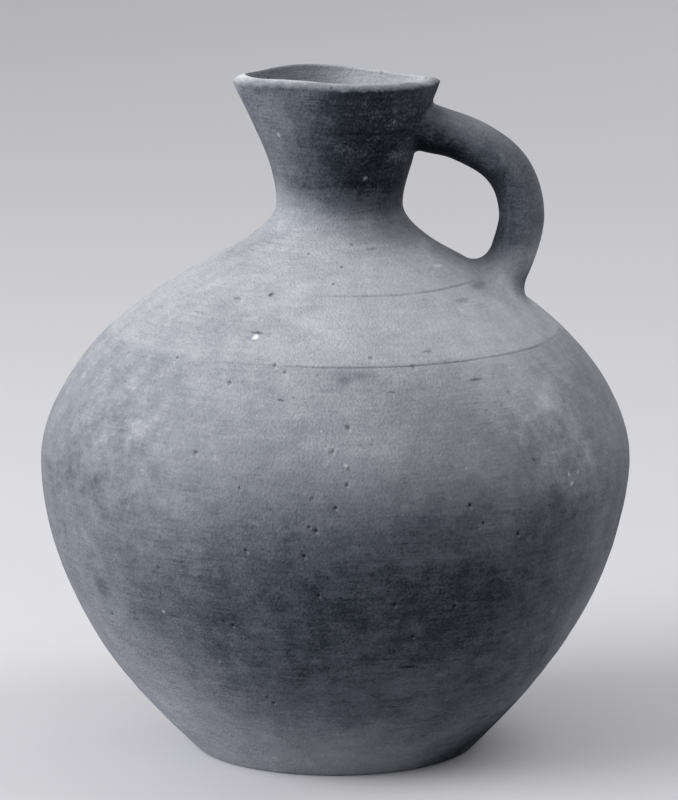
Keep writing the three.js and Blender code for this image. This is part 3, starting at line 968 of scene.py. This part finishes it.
def flecks(tree, place, size, tone):
    """Ragged flecks of a size, with clean clay between them."""
    wander = add(tree, "TexNoise", {"Vector": place, "Scale": 1 / (size * MM), "Detail": FLECK_DETAIL})
    low, high = FLECK_LEVELS
    limits = {"From Min": low, "From Max": high, "To Min": 0, "To Max": tone}
    return add(tree, "MapRange", {"Value": wander, **limits})


def drifted(tree, place, patch, reach):
    """Places moved about by up to a reach, so that what is drawn on them has ragged edges."""
    texture = {"Vector": place, "Scale": 1 / (patch * MM), "Detail": DRIFT_DETAIL}
    drift = add(tree, "TexNoise", texture, "Color")
    drift = add(tree, "VectorMath", {0: drift, 1: DRIFT_MIDDLE}, operation="SUBTRACT")
    swing = (2 * reach * MM,) * 3
    return add(tree, "VectorMath", {0: drift, 1: swing, 2: place}, operation="MULTIPLY_ADD")


def tone_and_shade_by_height(tree, place, tones_up):
    """The tone of the clay at each height, with the painted shade and light of its table."""
    height = add(tree, "SeparateXYZ", {0: place}, "Z")
    top = tones_up[-1][0]
    share = add(tree, "MapRange", {"Value": height, "From Max": top * MM})
    ramp = add(tree, "ValToRGB", {0: share})
    set_stops(ramp, [(height / top, (tone, tone, tone, 1)) for height, tone in tones_up])
    return ramp


def pot_shade(tree, place):
    return tone_and_shade_by_height(tree, place, POT_TONES_AND_SHADE)


def handle_shade(tree, place):
    """The handle's own tone, with painted light on the top of its arch, or the pot's where its ends were
    smoothed out on the pot.
    """
    luted = add(tree, "Attribute", {}, "Fac", attribute_name="luted")
    own = tone_and_shade_by_height(tree, place, HANDLE_TONES_AND_LIGHT)
    return add(tree, "Mix", {"Factor": luted, "A": own, "B": pot_shade(tree, place)})


def darkest_eased(tree, tone):
    """A tone whose darkest smoke and painted shade is eased, because the clay under the smoke still shows.
    """
    eased = add(tree, "Math", {0: tone, 1: SMOKE_AND_SHADE_SHARE, 2: SMOKE_AND_SHADE_LEAST}, operation="MULTIPLY_ADD")
    return add(tree, "Math", {0: tone, 1: eased}, operation="MAXIMUM")


def stronger_in_the_dark(tree, tone, texture, most):
    """A texture made stronger on dark clay, where a change of tone shows less, up to the most."""
    low, high = DARK_TONES
    limits = {"From Min": low, "From Max": high, "To Min": most, "To Max": PALE_STRENGTH}
    strength = add(tree, "MapRange", {"Value": tone, **limits})
    return add(tree, "Math", {0: texture, 1: strength}, operation="MULTIPLY")


def change_of_tone(tree, place, patch):
    """The change of tone of one patch, full in its middle and none past its reach."""
    there = {"Vector": place, "Location": patch.middle, "Scale": Vector(patch.reach) * MM}
    aside = add(tree, "Mapping", there, vector_type="TEXTURE")
    distance = add(tree, "VectorMath", {0: aside}, "Value", operation="LENGTH")
    limits = {"From Min": 1 - patch.fade, "From Max": 1, "To Min": patch.tone, "To Max": 0}
    return add(tree, "MapRange", {"Value": distance, **limits}, interpolation_type="SMOOTHSTEP")


def mark(tree, place, middle, reach, tone):
    """The change of tone of one small mark, full in its middle and none past its reach."""
    distance = add(tree, "VectorMath", {0: place, 1: middle}, "Value", operation="DISTANCE")
    limits = {"From Min": MARK_CORE * reach, "From Max": reach, "To Min": tone, "To Max": 0}
    return add(tree, "MapRange", {"Value": distance, **limits})


def specks(tree, place, spacing, radius, tone):
    """Round specks of a radius, scattered through the clay at a spacing."""
    distance = add(tree, "TexVoronoi", {"Vector": place, "Scale": 1 / (spacing * MM)})
    reach = radius / spacing
    limits = {"From Min": SPECK_CORE * reach, "From Max": reach, "To Min": tone, "To Max": 0}
    return add(tree, "MapRange", {"Value": distance, **limits})


def marked(tree, name, tone):
    """The change of tone where the mesh carries a mark of a name."""
    carried = add(tree, "Attribute", {}, "Fac", attribute_name=name)
    return add(tree, "Math", {0: carried, 1: tone}, operation="MULTIPLY")


def worn_edge(tree, place):
    """The change of tone where the lip is rubbed pale, with a ragged lower edge."""
    wear = add(tree, "Attribute", {}, "Fac", attribute_name="worn")
    ragged = total(tree, [wear, mottling(tree, place, *LIP_RAGGEDNESS)])
    low, high = LIP_PALE_WEAR
    limits = {"From Min": low, "From Max": high, "To Min": 0, "To Max": LIP_TONE}
    return add(tree, "MapRange", {"Value": ragged, **limits})


def smoke_and_shade_tone(tree, patch_place, ragged, shade):
    """The tone of the clay as the fire left it, with the painted shade and light of the height tables and
    the clouds.
    """
    clouds = [change_of_tone(tree, patch_place, cloud) for cloud in CLOUDS_AND_SHADE]
    return darkest_eased(tree, total(tree, [shade(tree, ragged)] + clouds))


def coarse_texture(tree, place, patch_place):
    """Texture that shows from a step away."""
    blotched = total(tree, [change_of_tone(tree, patch_place, patch) for patch in BLOTCHED])
    blotches = mottling(tree, place, *BLOTCHES)
    return total(tree, [
        mottling(tree, place, *BROAD_MOTTLING),
        mottling(tree, place, *MIDDLE_MOTTLING),
        add(tree, "Math", {0: blotches, 1: blotched}, operation="MULTIPLY"),
    ])


def fine_texture(tree, place, ragged, skin):
    """Texture that shows close up, with the tones of the skin's grain and lines."""
    level = add(tree, "Mapping", {"Vector": place, "Scale": STREAK_SCALE})
    return total(tree, [
        mottling(tree, level, *STREAKS),
        *skin,
        flecks(tree, ragged, *DARK_FLECKS),
        flecks(tree, level, *DARK_STREAKS),
        specks(tree, place, *DARK_GRIT),
    ])


def wear_dirt_and_shade(tree, place, nicked):
    """Changes of tone that use and age left, and painted shade and light: in the pinholes, cut lines,
    handle and inside.
    """
    return total(tree, [
        flecks(tree, nicked, *PALE_FLECKS),
        specks(tree, nicked, *PALE_GRIT),
        specks(tree, nicked, *PINHOLES),
        marked(tree, "dirt", GROOVE_DIRT_AND_SHADE_TONE),
        marked(tree, "within", INSIDE_TONE),
        marked(tree, "gripped", FINGER_SIDE_SHADE_TONE),
        worn_edge(tree, place),
    ])


def pit_tones(tree, place):
    """Changes of tone in the pits: a dark floor of painted shade and a pale lower rim of painted highlight
    each.
    """
    tones = []
    for turn, height, radius in PITS:
        floor = on_wall(turn, height)
        rim = on_wall(turn + PIT_RIM_TURN, height - PIT_RIM_DROP * radius)
        for middle, (reach, tone) in ((floor, PIT_FLOOR_SHADE), (rim, PIT_RIM_HIGHLIGHT)):
            tones.append(mark(tree, place, middle, reach * radius * MM, tone))
    return total(tree, tones)


def spot_tones(tree, place):
    """Changes of tone of the spots and the dashes. A dash is a spot in flattened space."""
    flattening = Vector((1, 1, DASH_FLATNESS))
    flattened = add(tree, "VectorMath", {0: place, 1: flattening}, operation="MULTIPLY")
    tones = []
    for turn, height, reach, tone in SPOTS:
        tones.append(mark(tree, place, on_wall(turn, height), reach * MM, tone))
    for turn, height, reach, tone in DASHES:
        tones.append(mark(tree, flattened, on_wall(turn, height) * flattening, reach * MM, tone))
    return total(tree, tones)


def dents(tree, place):
    """Relief of the pits and of the pinholes between them."""
    reach, depth = PIT_DENT
    holes = [specks(tree, place, *PINHOLE_DENTS)]
    for turn, height, radius in PITS:
        holes.append(mark(tree, place, on_wall(turn, height), reach * radius * MM, depth))
    return total(tree, holes)


def fired_clay(name, shade, wiping, roughness):
    """Fired, unglazed clay. Its tones by height, painted shade and light among them, and the lines left by
    the hand differ by piece.
    """
    material = bpy.data.materials.new(name)
    material.use_nodes = True
    tree = material.node_tree
    shader = tree.nodes["Principled BSDF"]
    place = add(tree, "TexCoord", {}, "Object")
    patch_place = drifted(tree, place, *PATCH_DRIFT)
    ragged = drifted(tree, place, *RAGGED_DRIFT)
    nicked = drifted(tree, place, *NICKED_DRIFT)
    lines = wiping(tree, place)
    skin = [mottling(tree, place, *GRAIN), lines]
    smoke_and_shade = smoke_and_shade_tone(tree, patch_place, ragged, shade)
    tone = total(tree, [
        smoke_and_shade,
        stronger_in_the_dark(tree, smoke_and_shade, coarse_texture(tree, place, patch_place), COARSE_STRENGTH),
        stronger_in_the_dark(tree, smoke_and_shade, fine_texture(tree, place, ragged, skin), FINE_STRENGTH),
        wear_dirt_and_shade(tree, place, nicked),
        pit_tones(tree, nicked),
        spot_tones(tree, nicked),
    ])
    colour = add(tree, "ValToRGB", {0: tone})
    set_stops(colour, [(position, linear(hex_colour)) for position, hex_colour in CLAY_GREYS])
    relief = total(tree, skin + [dents(tree, nicked)])
    normal = add(tree, "Bump", {"Height": relief, "Strength": 1, "Distance": RELIEF_HEIGHT})
    limits = {
        "From Min": -ROUGHNESS_LINE,
        "From Max": ROUGHNESS_LINE,
        "To Min": roughness - ROUGHNESS_SWING,
        "To Max": roughness + ROUGHNESS_SWING,
    }
    rubbed = add(tree, "MapRange", {"Value": lines, **limits})
    tree.links.new(colour, shader.inputs["Base Color"])
    tree.links.new(normal, shader.inputs["Normal"])
    tree.links.new(rubbed, shader.inputs["Roughness"])
    shader.inputs["Specular IOR Level"].default_value = CLAY_SPECULAR
    return material


def wiped_earthenware():
    """Earthenware thrown on a wheel and wiped with a wet hand while it turned: a dry, matt grey skin with
    faint level lines, finely mottled, with pinholes and grit, and clouded where the fire touched it, with
    painted shade and light in its tones."""
    def wiping(tree, place):
        level = add(tree, "Mapping", {"Vector": place, "Scale": WIPED_SCALE})
        combed = add(tree, "Mapping", {"Vector": place, "Scale": COMBED_SCALE})
        combing = mottling(tree, combed, *COMBED_LINES)
        where = flecks(tree, place, *COMBED_PLACES)
        combing = add(tree, "Math", {0: combing, 1: where}, operation="MULTIPLY")
        return total(tree, [mottling(tree, level, *WIPED_LINES), combing])

    return fired_clay("wiped_earthenware", pot_shade, wiping, WIPED_ROUGHNESS)


def pulled_earthenware():
    """The same clay pulled through a wet hand: smoother, with faint lines along the handle."""
    def wiping(tree, place):
        along = add(tree, "Attribute", {}, "Vector", attribute_name="pulled")
        along = add(tree, "Mapping", {"Vector": along, "Scale": PULLED_SCALE})
        return mottling(tree, along, *PULLED_LINES)

    return fired_clay("pulled_earthenware", handle_shade, wiping, PULLED_ROUGHNESS)


def thumbed_earthenware():
    """The same clay pressed down with the thumb and left: rougher, with no lines from wiping."""
    def wiping(tree, place):
        return mottling(tree, place, *THUMBED_SKIN)

    return fired_clay("thumbed_earthenware", pot_shade, wiping, THUMBED_ROUGHNESS)


wiped = wiped_earthenware()
pulled = pulled_earthenware()
thumbed = thumbed_earthenware()
for piece in (base, lower_body, upper_body, neck):
    piece.data.materials.append(wiped)
handle.data.materials.append(pulled)
for piece in (belly_coil, neck_coil, floor_coil):
    piece.data.materials.append(thumbed)


# Floor
FLOOR_RADIUS = 6
FLOOR_SIDES = 64
FLOOR_COLOUR = "#cccbd0"
FLOOR_ROUGHNESS = 0.9


def make_floor():
    """A wide sheet of pale, matt card."""
    sheet = bmesh.new()
    bmesh.ops.create_circle(sheet, cap_ends=True, radius=FLOOR_RADIUS, segments=FLOOR_SIDES)
    mesh = bpy.data.meshes.new("floor")
    sheet.to_mesh(mesh)
    sheet.free()
    card = bpy.data.materials.new("matt_card")
    card.use_nodes = True
    shader = card.node_tree.nodes["Principled BSDF"]
    shader.inputs["Base Color"].default_value = linear(FLOOR_COLOUR)
    shader.inputs["Roughness"].default_value = FLOOR_ROUGHNESS
    mesh.materials.append(card)
    floor = bpy.data.objects.new("floor", mesh)
    scene.collection.objects.link(floor)


# Light
def softbox(name, place, aim, size, power):
    """A square area light at a place, turned towards its aim."""
    light = bpy.data.lights.new(name, "AREA")
    light.shape = "SQUARE"
    light.size = size
    light.energy = power
    lamp = bpy.data.objects.new(name, light)
    lamp.location = place
    lamp.rotation_euler = (Vector(aim) - Vector(place)).to_track_quat("-Z", "Y").to_euler()
    scene.collection.objects.link(lamp)


make_floor()
POT_MIDDLE = (0, 0, 0.1)
softbox("window", place=(-1.6, -0.6, 0.85), aim=POT_MIDDLE, size=1.6, power=50)
softbox("high_right", place=(1.0, 0, 1.5), aim=POT_MIDDLE, size=1.0, power=8)
softbox("far_floor", place=(1.5, 2.2, 1.3), aim=(0.4, 2.7, 0), size=1.0, power=7)
SKY_COLOUR = (1, 1, 1, 1)
SKY_STRENGTH = 0.56
world = bpy.data.worlds.new("studio")
world.use_nodes = True
sky = world.node_tree.nodes["Background"]
sky.inputs["Color"].default_value = SKY_COLOUR
sky.inputs["Strength"].default_value = SKY_STRENGTH
scene.world = world
scene.view_settings.view_transform = "Standard"

# Camera: the photograph's viewing angle, with the jug filling a 678 by 800 frame
CAMERA_PLACE = (1.64 * MM, -1750 * MM, 463.5 * MM)
CAMERA_DIP = 10.804
CAMERA_LENS = 216.77
CAMERA_SENSOR = 36
camera_data = bpy.data.cameras.new("camera")
camera_data.lens = CAMERA_LENS
camera_data.sensor_width = CAMERA_SENSOR
camera = bpy.data.objects.new("camera", camera_data)
camera.location = CAMERA_PLACE
camera.rotation_euler = (math.radians(90 - CAMERA_DIP), 0, 0)
scene.collection.objects.link(camera)
scene.camera = camera
